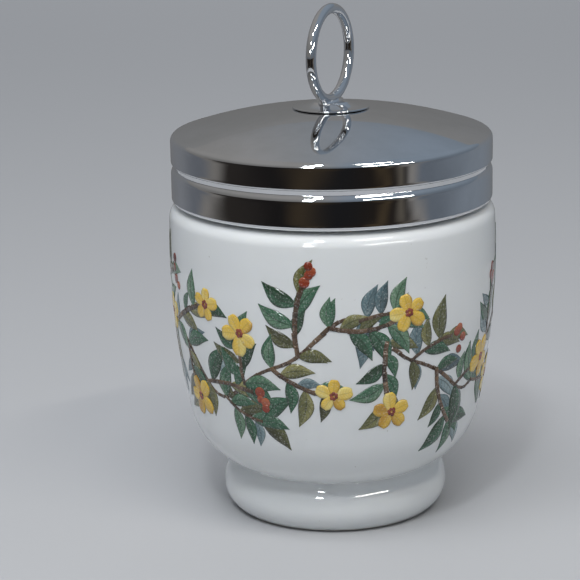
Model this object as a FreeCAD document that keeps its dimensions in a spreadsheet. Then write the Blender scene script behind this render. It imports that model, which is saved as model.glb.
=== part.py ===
import FreeCAD, Part
import math
import os
import Sketcher
from FreeCAD import Vector

# Egg coddler: a footed porcelain cup closed by a two-skin screw lid that carries a lift ring on a
# swivelling foot. The neck and the inner cap are plain here, with the room for their threads kept.
# Millimetres, +Z up, origin under the middle of the foot.

# Driving sizes: alias, value, what it is
SIZES = [
    ("waist_radius", 22.0, "crease between the foot and the bowl"),
    ("waist_height", 10.9, "height of that crease"),
    ("foot_bulge", 2.35, "how far the widest part of the foot stands out past the crease"),
    ("foot_belly_height", 4.9, "height of the widest part of the foot"),
    ("foot_tuck", 0.6, "how far the unglazed standing ring ends inside the crease"),
    ("foot_face", 2.8, "width of that ring"),
    ("recess_taper", 1.2, "how far the wall of the hollow under the foot leans in"),
    ("recess_height", 7.6, "ceiling of that hollow"),
    ("recess_corner", 2.2, "bevel between its wall and its ceiling"),
    ("body_radius", 35.0, "widest part of the bowl"),
    ("turn_inset", 3.6, "how far inside that the round bottom meets the long side"),
    ("turn_height", 22.5, "height of that change"),
    ("wall", 3.1, "porcelain wall of the bowl"),
    ("floor_height", 13.0, "inside floor of the bowl"),
    ("ledge_height", 67.7, "flat top of the shoulder"),
    ("body_drop", 10.7, "from the ledge down to the widest part of the bowl"),
    ("shoulder_drop", 1.5, "from the ledge down to where the shoulder rounds over"),
    ("shoulder_inset", 0.5, "how far inside the widest part that place is"),
    ("throat_drop", 5.7, "from the ledge down to where the bowl's inside bends in to the neck"),
    ("throat_inset", 0.5, "how far inside the bowl's widest inside that bend is"),
    ("throat_rise", 8.5, "height of the slope from that bend to the neck"),
    ("neck_height", 13.2, "from the ledge up to the rim"),
    ("neck_wall", 3.1, "porcelain wall of the neck"),
    ("neck_root", 0.9, "slope between the neck and the shoulder"),
    ("rim_bevel", 1.0, "bevel of both edges of the rim"),
    ("thread_room", 1.7, "space between the neck and the inner cap for their threads"),
    ("liner_sheet", 0.5, "sheet of the lid's inner cap"),
    ("liner_bevel", 0.9, "bevel round the inner cap's top edge"),
    ("rim_clearance", 0.3, "gap between the rim and the inner cap at rest"),
    ("panel_margin", 8.8, "from the inner cap's skirt in to its raised middle panel"),
    ("panel_slope", 1.6, "run of that panel's sloping side"),
    ("panel_rise", 1.1, "rise of that panel"),
    ("skin_gap", 0.95, "space between the lid's two skins"),
    ("lid_sheet", 0.5, "sheet of the lid's outer cap"),
    ("lid_inset", 0.75, "how far the lid stands inside the widest part of the bowl"),
    ("lid_clearance", 0.4, "gap between the cup's shoulder and the lid's edge at rest"),
    ("curl_radius", 0.9, "rounding of the lid's turned-in edge"),
    ("band_height", 5.95, "lower band, from the lid's edge to the shoulder under the groove"),
    ("band_shoulder", 1.35, "height of that rounded shoulder"),
    ("groove_depth", 0.6, "depth of the groove round the lid"),
    ("groove_slope", 1.6, "height of the groove's sloping upper side"),
    ("lid_edge_lift", 0.1, "top of the upper band, over the rim of the cup"),
    ("lid_edge_round", 0.95, "run of the rounding between the upper band and the domed top"),
    ("lid_edge_rise", 1.27, "rise of that rounding"),
    ("dome_rise", 5.4, "rise of the domed top over that rounding"),
    ("swivel_gap", 0.2, "running gap over and under the lid's top at the swivel"),
    ("shank_radius", 1.6, "shank of the ring's foot"),
    ("shank_clearance", 0.05, "radial running fit of the shank in the lid"),
    ("flare_radius", 8.2, "edge of the ring's flared foot"),
    ("flare_edge", 0.25, "thickness of that edge"),
    ("hub_radius", 3.7, "flat top of the ring's foot"),
    ("hub_height", 1.1, "height of the ring's foot over the top of the dome"),
    ("peen_lip", 0.9, "how far the riveted end of the shank spreads"),
    ("peen_height", 0.8, "height of the riveted end"),
    ("washer_lip", 1.7, "how far the washer under the lid's top stands out past that end"),
    ("washer_sheet", 0.6, "thickness of that washer"),
    ("wire_radius", 1.1, "half the wire of the lift ring"),
    ("ring_hole", 8.45, "radius of the lift ring's hole"),
    ("ring_seat_depth", 0.65, "how deep the wire is brazed into the foot"),
    ("ring_bearing", 64.0, "turn of the ring's plane from +X, in degrees"),
]

# Sizes that follow from those above: alias, formula
DERIVED = [
    ("foot_belly_radius", "waist_radius + foot_bulge"),
    ("foot_outside_radius", "waist_radius - foot_tuck"),
    ("foot_inside_radius", "foot_outside_radius - foot_face"),
    ("recess_wall_radius", "foot_inside_radius - recess_taper"),
    ("recess_wall_height", "recess_height - recess_corner"),
    ("recess_ceiling_radius", "recess_wall_radius - recess_corner"),
    ("turn_radius", "body_radius - turn_inset"),
    ("body_height", "ledge_height - body_drop"),
    ("shoulder_radius", "body_radius - shoulder_inset"),
    ("shoulder_height", "ledge_height - shoulder_drop"),
    ("inside_radius", "body_radius - wall"),
    ("inside_turn_radius", "turn_radius - wall"),
    ("inside_turn_height", "turn_height + wall * 0.3"),
    ("throat_radius", "inside_radius - throat_inset"),
    ("throat_height", "ledge_height - throat_drop"),
    ("throat_top", "throat_height + throat_rise"),
    ("lid_radius", "body_radius - lid_inset"),
    ("shell_inside", "lid_radius - lid_sheet"),
    ("liner_outside", "shell_inside - skin_gap"),
    ("liner_inside", "liner_outside - liner_sheet"),
    ("neck_radius", "liner_inside - thread_room"),
    ("ledge_root", "neck_radius + neck_root"),
    ("root_top", "ledge_height + neck_root"),
    ("rim_height", "ledge_height + neck_height"),
    ("rim_side", "rim_height - rim_bevel"),
    ("rim_outside", "neck_radius - rim_bevel"),
    ("mouth_radius", "neck_radius - neck_wall"),
    ("rim_inside", "mouth_radius + rim_bevel"),
    ("disc_under", "rim_height + rim_clearance"),
    ("disc_top", "disc_under + liner_sheet"),
    ("bevel_foot", "disc_top - liner_bevel"),
    ("bevel_run", "liner_outside - liner_bevel"),
    ("panel_radius", "liner_inside - panel_margin"),
    ("panel_foot", "panel_radius + panel_slope"),
    ("panel_under", "disc_under + panel_rise"),
    ("panel_top", "disc_top + panel_rise"),
    ("lid_bottom", "ledge_height + lid_clearance"),
    ("curl_top", "lid_bottom + curl_radius"),
    ("curl_run", "lid_radius - curl_radius"),
    ("tail_top", "lid_bottom + lid_sheet"),
    ("band_top", "lid_bottom + band_height"),
    ("groove_height", "band_top + band_shoulder"),
    ("groove_top", "groove_height + groove_slope"),
    ("groove_radius", "lid_radius - groove_depth"),
    ("groove_inside", "groove_radius - lid_sheet"),
    ("lid_edge_height", "rim_height + lid_edge_lift"),
    ("dome_edge_radius", "lid_radius - lid_edge_round"),
    ("dome_edge_height", "lid_edge_height + lid_edge_rise"),
    ("dome_height", "dome_edge_height + dome_rise"),
    ("dome_curve", "(dome_edge_radius ^ 2 + dome_rise ^ 2) / (2 * dome_rise)"),
    ("dome_centre", "dome_height - dome_curve"),
    ("under_curve", "dome_curve - lid_sheet"),
    ("shank_hole", "shank_radius + shank_clearance"),
    ("hole_top", "dome_centre + sqrt(dome_curve ^ 2 - shank_hole ^ 2)"),
    ("hole_under", "dome_centre + sqrt(under_curve ^ 2 - shank_hole ^ 2)"),
    ("dome_edge_under", "dome_centre + sqrt(under_curve ^ 2 - dome_edge_radius ^ 2)"),
    ("foot_curve", "dome_curve + swivel_gap"),
    ("shank_top", "dome_centre + sqrt(foot_curve ^ 2 - shank_radius ^ 2)"),
    ("flare_under", "dome_centre + sqrt(foot_curve ^ 2 - flare_radius ^ 2)"),
    ("flare_top", "flare_under + flare_edge"),
    ("hub_top", "dome_height + hub_height"),
    ("peen_radius", "shank_radius + peen_lip"),
    ("washer_radius", "peen_radius + washer_lip"),
    ("washer_top", "dome_centre + sqrt(under_curve ^ 2 - washer_radius ^ 2) - swivel_gap"),
    ("washer_under", "washer_top - washer_sheet"),
    ("peen_under", "washer_under - peen_height"),
    ("peen_flat", "peen_radius * 0.5"),
    ("ring_radius", "ring_hole + wire_radius"),
    ("ring_height", "hub_top - ring_seat_depth + wire_radius + ring_radius"),
]

doc = FreeCAD.newDocument("egg_coddler")
sheet = doc.addObject("Spreadsheet::Sheet", "sizes")
for row, (alias, value, meaning) in enumerate(SIZES, start=1):
    sheet.set("A%d" % row, meaning)
    sheet.set("B%d" % row, str(value))
    sheet.setAlias("B%d" % row, alias)
for row, (alias, formula) in enumerate(DERIVED, start=len(SIZES) + 1):
    sheet.set("B%d" % row, "=" + formula)
    sheet.setAlias("B%d" % row, alias)
doc.recompute()


def size(alias):
    return float(sheet.get(alias))


def new_body(label):
    body = doc.addObject("PartDesign::Body", label)
    body.Label = label
    return body


class HalfSection:
    # A closed outline on a body's XZ plane, drawn edge by edge: x is the radius, y the height.
    # A coordinate given as an alias is bound to the sheet, and one given as a number is only a
    # starting value that a tangent settles.

    def __init__(self, body, name, radius, height):
        self.sketch = body.newObject("Sketcher::SketchObject", name)
        plane = [o for o in body.Origin.OriginFeatures if o.Role == "XZ_Plane"][0]
        self.sketch.AttachmentSupport = [(plane, "")]
        self.sketch.MapMode = "FlatFace"
        self.start = self.read(radius, height)
        self.start_names = (radius, height)
        self.point = self.start
        self.leave = None
        self.first = None

    def read(self, radius, height):
        values = [size(n) if isinstance(n, str) else float(n) for n in (radius, height)]
        return Vector(values[0], values[1], 0)

    def pin(self, edge, end, names):
        for kind, name in zip(("DistanceX", "DistanceY"), names):
            if not isinstance(name, str) and name != 0:
                continue
            if name == 0:
                axis = -2 if kind == "DistanceX" else -1
                self.sketch.addConstraint(Sketcher.Constraint("PointOnObject", edge, end, axis))
                continue
            constraint = Sketcher.Constraint(kind, -1, 1, edge, end, size(name))
            index = self.sketch.addConstraint(constraint)
            self.sketch.setExpression("Constraints[%d]" % index, "sizes." + name)

    def add(self, geometry, enter, leave, names, smooth):
        edge = self.sketch.addGeometry(geometry, False)
        if self.leave is None:
            self.first = (edge, enter)
            self.pin(edge, enter, self.start_names)
        elif smooth:
            self.sketch.addConstraint(Sketcher.Constraint("Tangent", *self.leave, edge, enter))
        else:
            self.sketch.addConstraint(Sketcher.Constraint("Coincident", *self.leave, edge, enter))
        if names is not None:
            self.pin(edge, leave, names)
        self.leave = (edge, leave)
        return edge

    def line(self, radius, height, smooth=False):
        end = self.read(radius, height)
        self.add(Part.LineSegment(self.point, end), 1, 2, (radius, height), smooth)
        self.point = end

    def arc(self, radius, height, bulge, upright=None, level=None, smooth=False, curve=None):
        # bulge is the sagitta over half the chord, positive to the left of the way along;
        # upright or level says at which end the arc runs straight up or straight across,
        # and curve is the alias of a radius
        end = self.read(radius, height)
        chord = end - self.point
        left = Vector(-chord.y, chord.x, 0)
        middle = (self.point + end) * 0.5 + left * (0.5 * bulge)
        circle = Part.Arc(self.point, middle, end).toShape().Curve
        hub = circle.Center
        turn = bulge < 0
        first, last = (self.point, end) if turn else (end, self.point)
        angles = [math.atan2(p.y - hub.y, p.x - hub.x) for p in (first, last)]
        if angles[1] < angles[0]:
            angles[1] += 2 * math.pi
        round_edge = Part.ArcOfCircle(Part.Circle(hub, Vector(0, 0, 1), circle.Radius), *angles)
        enter, leave = (1, 2) if turn else (2, 1)
        edge = self.add(round_edge, enter, leave, (radius, height), smooth)
        ends = {"start": enter, "end": leave}
        if upright:
            self.sketch.addConstraint(Sketcher.Constraint("Horizontal", edge, 3, edge, ends[upright]))
        if level:
            self.sketch.addConstraint(Sketcher.Constraint("Vertical", edge, 3, edge, ends[level]))
        if curve:
            index = self.sketch.addConstraint(Sketcher.Constraint("Radius", edge, size(curve)))
            self.sketch.setExpression("Constraints[%d]" % index, "sizes." + curve)
        self.point = end

    def close(self):
        edge = self.sketch.addGeometry(Part.LineSegment(self.point, self.start), False)
        self.sketch.addConstraint(Sketcher.Constraint("Coincident", *self.leave, edge, 1))
        self.sketch.addConstraint(Sketcher.Constraint("Coincident", edge, 2, *self.first))
        return self.sketch


def revolve(body, sketch, name):
    turned = body.newObject("PartDesign::Revolution", name)
    turned.Profile = sketch
    turned.ReferenceAxis = (sketch, ["V_Axis"])
    turned.Angle = 360
    sketch.Visibility = False
    return turned


def make_cup():
    body = new_body("cup")
    cut = HalfSection(body, "cup_section", 0, "recess_height")
    cut.line("recess_ceiling_radius", "recess_height")
    cut.line("recess_wall_radius", "recess_wall_height")
    cut.line("foot_inside_radius", 0)
    cut.line("foot_outside_radius", 0)
    cut.arc("foot_belly_radius", "foot_belly_height", -0.3, upright="end")
    cut.arc("waist_radius", "waist_height", -0.2, upright="start")
    cut.arc("turn_radius", "turn_height", -0.25)
    cut.arc("body_radius", "body_height", -0.1, upright="end", smooth=True)
    cut.arc("shoulder_radius", "shoulder_height", -0.05, upright="start")
    cut.arc(size("shoulder_radius") - size("shoulder_drop"), "ledge_height", -0.3, level="end",
            smooth=True)
    cut.line("ledge_root", "ledge_height")
    cut.line("neck_radius", "root_top")
    cut.line("neck_radius", "rim_side")
    cut.line("rim_outside", "rim_height")
    cut.line("rim_inside", "rim_height")
    cut.line("mouth_radius", "rim_side")
    cut.line("mouth_radius", "throat_top")
    cut.line("throat_radius", "throat_height")
    cut.line("inside_radius", "body_height")
    cut.arc("inside_turn_radius", "inside_turn_height", 0.1, upright="start")
    cut.arc(size("inside_turn_radius") * 0.55, "floor_height", 0.4, level="end", smooth=True)
    cut.line(0, "floor_height")
    revolve(body, cut.close(), "cup_turned")
    return body


def make_lid_liner():
    body = new_body("lid_liner")
    cut = HalfSection(body, "liner_section", 0, "panel_under")
    cut.line("panel_radius", "panel_under")
    cut.line("panel_foot", "disc_under")
    cut.line("bevel_run", "disc_under")
    cut.line("liner_inside", "bevel_foot")
    cut.line("liner_inside", "tail_top")
    cut.line("liner_outside", "tail_top")
    cut.line("liner_outside", "bevel_foot")
    cut.line("bevel_run", "disc_top")
    cut.line("panel_foot", "disc_top")
    cut.line("panel_radius", "panel_top")
    cut.line(0, "panel_top")
    revolve(body, cut.close(), "liner_pressed")
    return body


def make_lid_shell():
    body = new_body("lid_shell")
    cut = HalfSection(body, "shell_section", "shank_hole", "hole_under")
    cut.arc("dome_edge_radius", "dome_edge_under", 0.05, curve="under_curve")
    cut.line("shell_inside", "lid_edge_height")
    cut.line("shell_inside", "groove_top")
    cut.line("groove_inside", "groove_height")
    cut.line("shell_inside", "band_top")
    cut.line("shell_inside", "curl_top")
    cut.line("curl_run", "tail_top")
    cut.line("liner_inside", "tail_top")
    cut.line("liner_inside", "lid_bottom")
    cut.line("curl_run", "lid_bottom")
    cut.arc("lid_radius", "curl_top", -0.4, upright="end")
    cut.line("lid_radius", "band_top")
    cut.arc("groove_radius", "groove_height", -0.2, upright="start")
    cut.line("lid_radius", "groove_top")
    cut.line("lid_radius", "lid_edge_height")
    cut.arc("dome_edge_radius", "dome_edge_height", -0.3, upright="start")
    cut.arc("shank_hole", "hole_top", -0.05, curve="dome_curve")
    revolve(body, cut.close(), "shell_pressed")
    return body


def make_rivet_washer():
    body = new_body("rivet_washer")
    cut = HalfSection(body, "washer_section", "shank_radius", "washer_under")
    cut.line("washer_radius", "washer_under")
    cut.line("washer_radius", "washer_top")
    cut.line("shank_radius", "washer_top")
    revolve(body, cut.close(), "washer_blank")
    return body


def make_ring(name):
    ring = doc.addObject("Part::Torus", name)
    ring.setExpression("Radius1", "sizes.ring_radius")
    ring.setExpression("Radius2", "sizes.wire_radius")
    turn = FreeCAD.Rotation(Vector(0, 0, 1), size("ring_bearing"))
    stand = FreeCAD.Rotation(Vector(1, 0, 0), 90)
    ring.Placement = FreeCAD.Placement(Vector(0, 0, size("ring_height")), turn.multiply(stand))
    ring.setExpression("Placement.Base.z", "sizes.ring_height")
    return ring


def make_ring_foot():
    body = new_body("ring_foot_blank")
    cut = HalfSection(body, "ring_foot_section", 0, "peen_under")
    cut.line("peen_flat", "peen_under")
    cut.arc("peen_radius", "washer_under", -0.3, upright="end")
    cut.line("shank_radius", "washer_under")
    cut.line("shank_radius", "shank_top")
    cut.arc("flare_radius", "flare_under", 0.03, curve="foot_curve")
    cut.line("flare_radius", "flare_top")
    cut.arc("hub_radius", "hub_top", 0.2, level="start")
    cut.line(0, "hub_top")
    revolve(body, cut.close(), "ring_foot_turned")
    seat = make_ring("ring_seat")
    foot = doc.addObject("Part::Cut", "ring_foot")
    foot.Label = "ring_foot"
    foot.Base = body
    foot.Tool = seat
    return foot


def make_lift_ring():
    ring = make_ring("lift_ring")
    ring.Label = "lift_ring"
    return ring


PIECES = [make_cup(), make_lid_liner(), make_lid_shell(), make_rivet_washer(), make_ring_foot(),
          make_lift_ring()]
doc.recompute()

for item in doc.Objects:
    if "Invalid" in item.State or "Error" in item.State:
        raise RuntimeError("%s failed: %s" % (item.Label, item.State))

os.makedirs("parts", exist_ok=True)
for piece in PIECES:
    shape = piece.Shape
    if shape.isNull() or not shape.isValid():
        raise RuntimeError("%s has no valid shape" % piece.Label)
    shape.exportStep(os.path.join("parts", piece.Label + ".step"))
    box = shape.BoundBox
    print("%-14s %9.1f mm3  z %.2f to %.2f" % (piece.Label, shape.Volume, box.ZMin, box.ZMax))
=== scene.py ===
import math
import random

import bpy
from mathutils import Matrix, Vector


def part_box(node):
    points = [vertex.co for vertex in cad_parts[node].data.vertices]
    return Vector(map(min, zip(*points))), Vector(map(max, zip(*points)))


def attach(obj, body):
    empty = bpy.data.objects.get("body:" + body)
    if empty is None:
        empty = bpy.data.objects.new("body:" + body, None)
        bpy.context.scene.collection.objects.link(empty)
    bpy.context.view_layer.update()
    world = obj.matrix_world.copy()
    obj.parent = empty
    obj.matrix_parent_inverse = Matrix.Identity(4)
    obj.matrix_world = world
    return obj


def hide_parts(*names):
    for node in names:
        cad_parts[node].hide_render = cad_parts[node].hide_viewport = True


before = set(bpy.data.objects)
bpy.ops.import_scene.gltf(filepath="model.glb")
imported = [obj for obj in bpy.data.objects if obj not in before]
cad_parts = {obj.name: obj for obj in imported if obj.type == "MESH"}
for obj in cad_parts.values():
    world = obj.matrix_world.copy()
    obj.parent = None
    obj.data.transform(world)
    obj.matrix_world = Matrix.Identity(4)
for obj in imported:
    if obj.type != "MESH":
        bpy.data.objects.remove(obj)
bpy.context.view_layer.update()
scene = bpy.context.scene
scene.view_settings.view_transform = "Standard"

# The viewpoint of the photograph: half a metre away and a little above the lid, with a slight
# roll. Its place and lens are worked out from the outlines of the foot, the bowl and the lid.
IMAGE_SIDE = 580
FOCAL_PIXELS = 2220
CAMERA_PLACE = Vector((-0.0093, -0.465, 0.1691))
CAMERA_PITCH = 0.2558
CAMERA_ROLL = 0.0165

camera = bpy.data.cameras.new("camera")
camera.sensor_width = 36
camera.sensor_fit = "HORIZONTAL"
camera.lens = FOCAL_PIXELS / IMAGE_SIDE * camera.sensor_width
camera.clip_start = 0.01
camera_object = bpy.data.objects.new("camera", camera)
scene.collection.objects.link(camera_object)
look = Vector((0, math.cos(CAMERA_PITCH), -math.sin(CAMERA_PITCH)))
level_right = Vector((1, 0, 0))
level_up = level_right.cross(look)
right = level_right * math.cos(CAMERA_ROLL) - level_up * math.sin(CAMERA_ROLL)
up = level_right * math.sin(CAMERA_ROLL) + level_up * math.cos(CAMERA_ROLL)
axes = Matrix((right, up, -look)).transposed()
camera_object.matrix_world = Matrix.Translation(CAMERA_PLACE) @ axes.to_4x4()
scene.camera = camera_object


# The studio: a pale floor, a soft box above the object and one above the backdrop, small lamps that
# give the glints, and a low surround that shows only in polished surfaces: dark in front, grey at
# the sides and behind.
FLOOR_HALF = 3.0
FLOOR_COLOUR = (0.47, 0.475, 0.485, 1)
SURROUND_RADIUS = 0.235
SURROUND_HEIGHT = 0.082
SURROUND_BACK_HEIGHT = 0.20
SURROUND_BACK_START = 95
SURROUND_BACK_BLEND = 55
SURROUND_STEPS = 240
SURROUND_ROWS = 10
ROOM_LOW_GREY = 0.235
# how the edges of its tones waver: by how many degrees, and how fast with height and with bearing
SURROUND_WAVERS = ((5.0, 95, 0.06), (3.0, 230, -0.10))
SOFT_WHITE = (0.97, 0.98, 1.0)
WINDOW_WHITE = (0.90, 0.96, 1.0)
# bearing in degrees from the front to the right, and the light that the surround gives off there
SURROUND_TONES = [(-180, (0.14, 0.14, 0.14)), (-128, (0.19, 0.20, 0.22)), (-104, (0.13, 0.14, 0.16)),
                  (-92, (0.20, 0.19, 0.18)), (-76, (0.025, 0.022, 0.020)), (-34, (0.012, 0.011, 0.011)),
                  (-16, (0.040, 0.030, 0.020)), (4, (0.012, 0.012, 0.013)), (22, (0.016, 0.013, 0.011)),
                  (29, (0.055, 0.040, 0.024)), (36, (0.018, 0.015, 0.013)), (43, (0.100, 0.088, 0.072)),
                  (47, (0.045, 0.041, 0.038)), (54, (0.23, 0.22, 0.21)), (66, (0.13, 0.15, 0.18)),
                  (112, (0.20, 0.23, 0.27)), (180, (0.14, 0.14, 0.14))]


def ease(share):
    # a share from 0 to 1 with a soft start and a soft end
    return share * share * (3 - 2 * share)


def place_mesh(name, vertices, faces):
    mesh = bpy.data.meshes.new(name)
    mesh.from_pydata(vertices, [], faces)
    mesh.update()
    item = bpy.data.objects.new(name, mesh)
    scene.collection.objects.link(item)
    return item


def new_material(name):
    material = bpy.data.materials.new(name)
    material.use_nodes = True
    nodes = material.node_tree.nodes
    nodes.clear()
    out = nodes.new("ShaderNodeOutputMaterial")
    shader = nodes.new("ShaderNodeBsdfPrincipled")
    material.node_tree.links.new(shader.outputs["BSDF"], out.inputs["Surface"])
    return material, shader


def area_lamp(name, place, aim, width, height, watts, colour):
    lamp = bpy.data.lights.new(name, "AREA")
    lamp.shape = "RECTANGLE"
    lamp.size = width
    lamp.size_y = height
    lamp.energy = watts
    lamp.color = colour
    item = bpy.data.objects.new(name, lamp)
    item.location = place
    item.rotation_euler = (Vector(aim) - Vector(place)).to_track_quat("-Z", "Y").to_euler()
    item.visible_camera = False
    scene.collection.objects.link(item)
    return item


def wire(tree, source, target):
    # a link from (node, output name) to (node, input name or number)
    tree.links.new(source[0].outputs[source[1]], target[0].inputs[target[1]])


def range_node(tree, value, low, high, start=0.0, end=1.0):
    # a Map Range node with a soft start and end, from low-high to start-end
    node = tree.nodes.new("ShaderNodeMapRange")
    node.interpolation_type = "SMOOTHSTEP"
    wire(tree, value, (node, "Value"))
    for name, number in (("From Min", low), ("From Max", high), ("To Min", start), ("To Max", end)):
        node.inputs[name].default_value = number
    return (node, "Result")


def mix_colours(tree, factor, first, second, blend="MIX"):
    # a colour mix; each colour is a value or (node, output name)
    node = tree.nodes.new("ShaderNodeMix")
    node.data_type = "RGBA"
    node.blend_type = blend
    if isinstance(factor, tuple):
        wire(tree, factor, (node, 0))
    else:
        node.inputs[0].default_value = factor
    for slot, colour in ((6, first), (7, second)):
        if isinstance(colour, tuple) and not isinstance(colour[0], (int, float)):
            wire(tree, colour, (node, slot))
        else:
            node.inputs[slot].default_value = colour
    return (node, 2)


floor_corners = [(x * FLOOR_HALF, y * FLOOR_HALF, 0) for x, y in ((-1, -1), (1, -1), (1, 1), (-1, 1))]
floor = place_mesh("floor", floor_corners, [(0, 1, 2, 3)])
floor_material, floor_shader = new_material("floor_paper")
floor_shader.inputs["Base Color"].default_value = FLOOR_COLOUR
floor_shader.inputs["Roughness"].default_value = 0.9
floor_shader.inputs["Specular IOR Level"].default_value = 0.1
floor.data.materials.append(floor_material)


def surround_tone(bearing):
    for (low, first), (high, second) in zip(SURROUND_TONES, SURROUND_TONES[1:]):
        if bearing <= high:
            break
    share = ease((bearing - low) / (high - low))
    return [a + (b - a) * share for a, b in zip(first, second)]


surround_points = []
surround_tones = []
surround_faces = []
for step in range(SURROUND_STEPS + 1):
    bearing = -180 + 360 * step / SURROUND_STEPS
    turn = math.radians(bearing)
    rise = min(1.0, max(0.0, (abs(bearing) - SURROUND_BACK_START) / SURROUND_BACK_BLEND))
    top = SURROUND_HEIGHT + (SURROUND_BACK_HEIGHT - SURROUND_HEIGHT) * ease(rise)
    for row in range(SURROUND_ROWS + 1):
        height = top * row / SURROUND_ROWS
        waver = sum(amount * math.sin(by_height * height + by_bearing * bearing)
                    for amount, by_height, by_bearing in SURROUND_WAVERS)
        tone = surround_tone(max(-180.0, min(180.0, bearing + waver * (1 - rise))))
        fade = rise * (height / SURROUND_BACK_HEIGHT) ** 1.5
        surround_tones.append([channel + (ROOM_LOW_GREY - channel) * fade for channel in tone] + [1.0])
        surround_points.append((SURROUND_RADIUS * math.sin(turn), -SURROUND_RADIUS * math.cos(turn), height))
        if step < SURROUND_STEPS and row < SURROUND_ROWS:
            corner = step * (SURROUND_ROWS + 1) + row
            after = corner + SURROUND_ROWS + 1
            surround_faces.append((corner, after, after + 1, corner + 1))
surround = place_mesh("low_surround", surround_points, surround_faces)
tone_layer = surround.data.attributes.new("tone", "FLOAT_COLOR", "POINT")
for index, tone in enumerate(surround_tones):
    tone_layer.data[index].color = tone
surround_material = bpy.data.materials.new("surround_card")
surround_material.use_nodes = True
card = surround_material.node_tree
card.nodes.clear()
card_out = card.nodes.new("ShaderNodeOutputMaterial")
card_light = card.nodes.new("ShaderNodeEmission")
card_tone = card.nodes.new("ShaderNodeAttribute")
card_tone.attribute_name = "tone"
wire(card, (card_tone, "Color"), (card_light, "Color"))
wire(card, (card_light, "Emission"), (card_out, "Surface"))
surround.data.materials.append(surround_material)
surround.visible_camera = False
surround.visible_diffuse = False
surround.visible_shadow = False

soft_box = area_lamp("lamp_soft_box", (-0.13, -0.31, 0.88), (0, 0, 0.04), 0.66, 0.50, 5.2, SOFT_WHITE)
back_box = area_lamp("lamp_over_backdrop", (0.0, 1.45, 0.95), (0, 1.35, 0), 1.3, 0.7, 5.0, SOFT_WHITE)
for box in (soft_box, back_box):
    box.visible_glossy = False
area_lamp("lamp_left_of_camera", (-0.097, -0.42, 0.60), (0, 0, 0.06), 0.055, 0.075, 0.85, (0.93, 0.97, 1.0))
area_lamp("lamp_right_of_camera", (0.247, -0.317, 0.62), (0, 0, 0.06), 0.26, 0.022, 0.75, (1.0, 0.95, 0.86))
# window light that shows only as glints: two small panes on the left and a long slot on the right
for glint_name, place, width, height, watts, colour in (
        ("glint_left_low", (-0.132, -0.430, 0.190), 0.055, 0.040, 0.30, WINDOW_WHITE),
        ("glint_left_high", (-0.132, -0.430, 0.360), 0.060, 0.036, 0.35, WINDOW_WHITE),
        ("glint_right", (0.280, -0.352, 0.215), 0.30, 0.016, 0.60, (1.0, 0.98, 0.93))):
    glint = area_lamp(glint_name, place, (0, 0, 0.03), width, height, watts, colour)
    glint.visible_diffuse = False

# The air of the studio gives a little light from all round; polished surfaces see a plainer, greyer
# room, a touch warm on the left and blue on the right, as they do in the photograph.
world = bpy.data.worlds.new("studio_air")
world.use_nodes = True
scene.world = world
sky = world.node_tree
sky.nodes.clear()
sky_out = sky.nodes.new("ShaderNodeOutputWorld")
sky_shader = sky.nodes.new("ShaderNodeBackground")
sky_place = sky.nodes.new("ShaderNodeTexCoord")
sky_split = sky.nodes.new("ShaderNodeSeparateXYZ")
sky_path = sky.nodes.new("ShaderNodeLightPath")
wire(sky, (sky_place, "Generated"), (sky_split, "Vector"))
air_height = range_node(sky, (sky_split, "Z"), 0.0, 0.7)
air = mix_colours(sky, air_height, (0.30, 0.315, 0.34, 1), (0.24, 0.26, 0.29, 1))
room_height = range_node(sky, (sky_split, "Z"), 0.12, 0.70)
room_grey = mix_colours(sky, room_height, (0.19, 0.19, 0.19, 1), (0.30, 0.30, 0.30, 1))
room_side = range_node(sky, (sky_split, "X"), -0.25, 0.25)
room_tint = mix_colours(sky, room_side, (1.02, 1.0, 0.98, 1), (0.80, 0.96, 1.16, 1))
room = mix_colours(sky, 1.0, room_grey, room_tint, "MULTIPLY")
sky_colour = mix_colours(sky, (sky_path, "Is Glossy Ray"), air, room)
wire(sky, sky_colour, (sky_shader, "Color"))
wire(sky, (sky_shader, "Background"), (sky_out, "Surface"))


def new_group(name, inputs, outputs):
    # a shader node group with named sockets; inputs are (name, kind, value)
    tree = bpy.data.node_groups.new(name, "ShaderNodeTree")
    for socket_name, kind, value in inputs:
        socket = tree.interface.new_socket(socket_name, in_out="INPUT", socket_type="NodeSocket" + kind)
        if value is not None:
            socket.default_value = value
    for socket_name, kind in outputs:
        tree.interface.new_socket(socket_name, in_out="OUTPUT", socket_type="NodeSocket" + kind)
    return tree, tree.nodes.new("NodeGroupInput"), tree.nodes.new("NodeGroupOutput")


def math_node(tree, operation, first, second=None, third=None):
    # a Math node; each operand is a number or (node, output name)
    node = tree.nodes.new("ShaderNodeMath")
    node.operation = operation
    for slot, operand in enumerate((first, second, third)):
        if isinstance(operand, tuple):
            wire(tree, operand, (node, slot))
        elif operand is not None:
            node.inputs[slot].default_value = operand
    return (node, "Value")


def noise_node(tree, vector, scale, detail=3.0, roughness=0.55):
    node = tree.nodes.new("ShaderNodeTexNoise")
    wire(tree, vector, (node, "Vector"))
    if isinstance(scale, tuple):
        wire(tree, scale, (node, "Scale"))
    else:
        node.inputs["Scale"].default_value = scale
    node.inputs["Detail"].default_value = detail
    node.inputs["Roughness"].default_value = roughness
    return (node, "Fac")


# Handling marks that glaze, chrome and sheet share: broad smudges in the gloss and a fine grain
marks, marks_in, marks_out = new_group(
    "handling_marks",
    [("Place", "Vector", None), ("Smudge Scale", "Float", 60.0), ("Grain Scale", "Float", 900.0)],
    [("Smudge", "Float"), ("Grain", "Float")])
smudges = noise_node(marks, (marks_in, "Place"), (marks_in, "Smudge Scale"), 4.0, 0.62)
wire(marks, range_node(marks, smudges, 0.36, 0.68), (marks_out, "Smudge"))
wire(marks, noise_node(marks, (marks_in, "Place"), (marks_in, "Grain Scale"), 2.0), (marks_out, "Grain"))

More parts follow.
